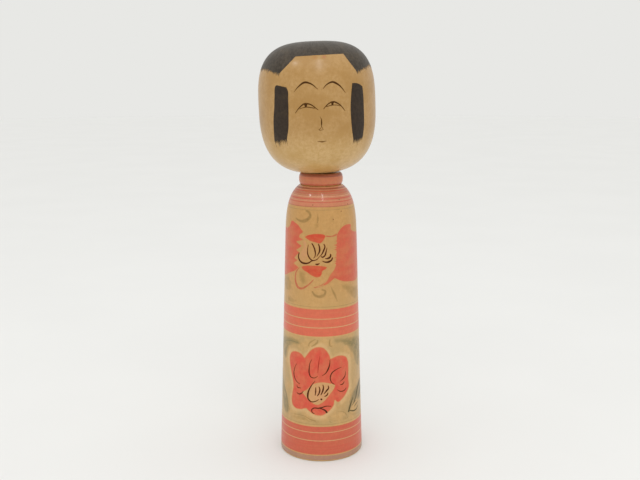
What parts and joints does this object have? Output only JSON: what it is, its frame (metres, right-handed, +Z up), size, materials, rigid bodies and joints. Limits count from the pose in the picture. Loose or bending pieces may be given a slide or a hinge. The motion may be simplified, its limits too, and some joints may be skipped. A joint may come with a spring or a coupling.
{
  "type": "kokeshi doll",
  "caption": "Turned wooden doll with a tapering body, a neck bead and a plug-in head that turns on its tenon, painted with red bands and flowers.",
  "frame": {"origin": "centre of the flat underside of the foot, which the doll stands on", "axes": "+Z up the body's own axis, from the foot to the head; -Y is the way the painted face looks; +X is to the right of a viewer who faces the doll"},
  "size_m": [0.0837, 0.0834, 0.3031],
  "materials": {
    "body_wood": "aged, waxed, satin; painted with dye",
    "head_wood": "aged, waxed, satin",
    "red_dye": "dye soaked into the wood, satin",
    "leaf_dye": "faded green dye soaked into the wood, satin",
    "black_ink": "brushed ink, satin"
  },
  "bodies": {
    "body": {"body": "body_wood"},
    "head": {"head": "head_wood"}
  },
  "joints": [
    {"name": "head_turn", "type": "hinge", "parent": "body", "child": "head", "pos_m": [0, 0, 0.18217], "axis": [-0.0349, 0, 0.9994], "continuous": true}
  ]
}
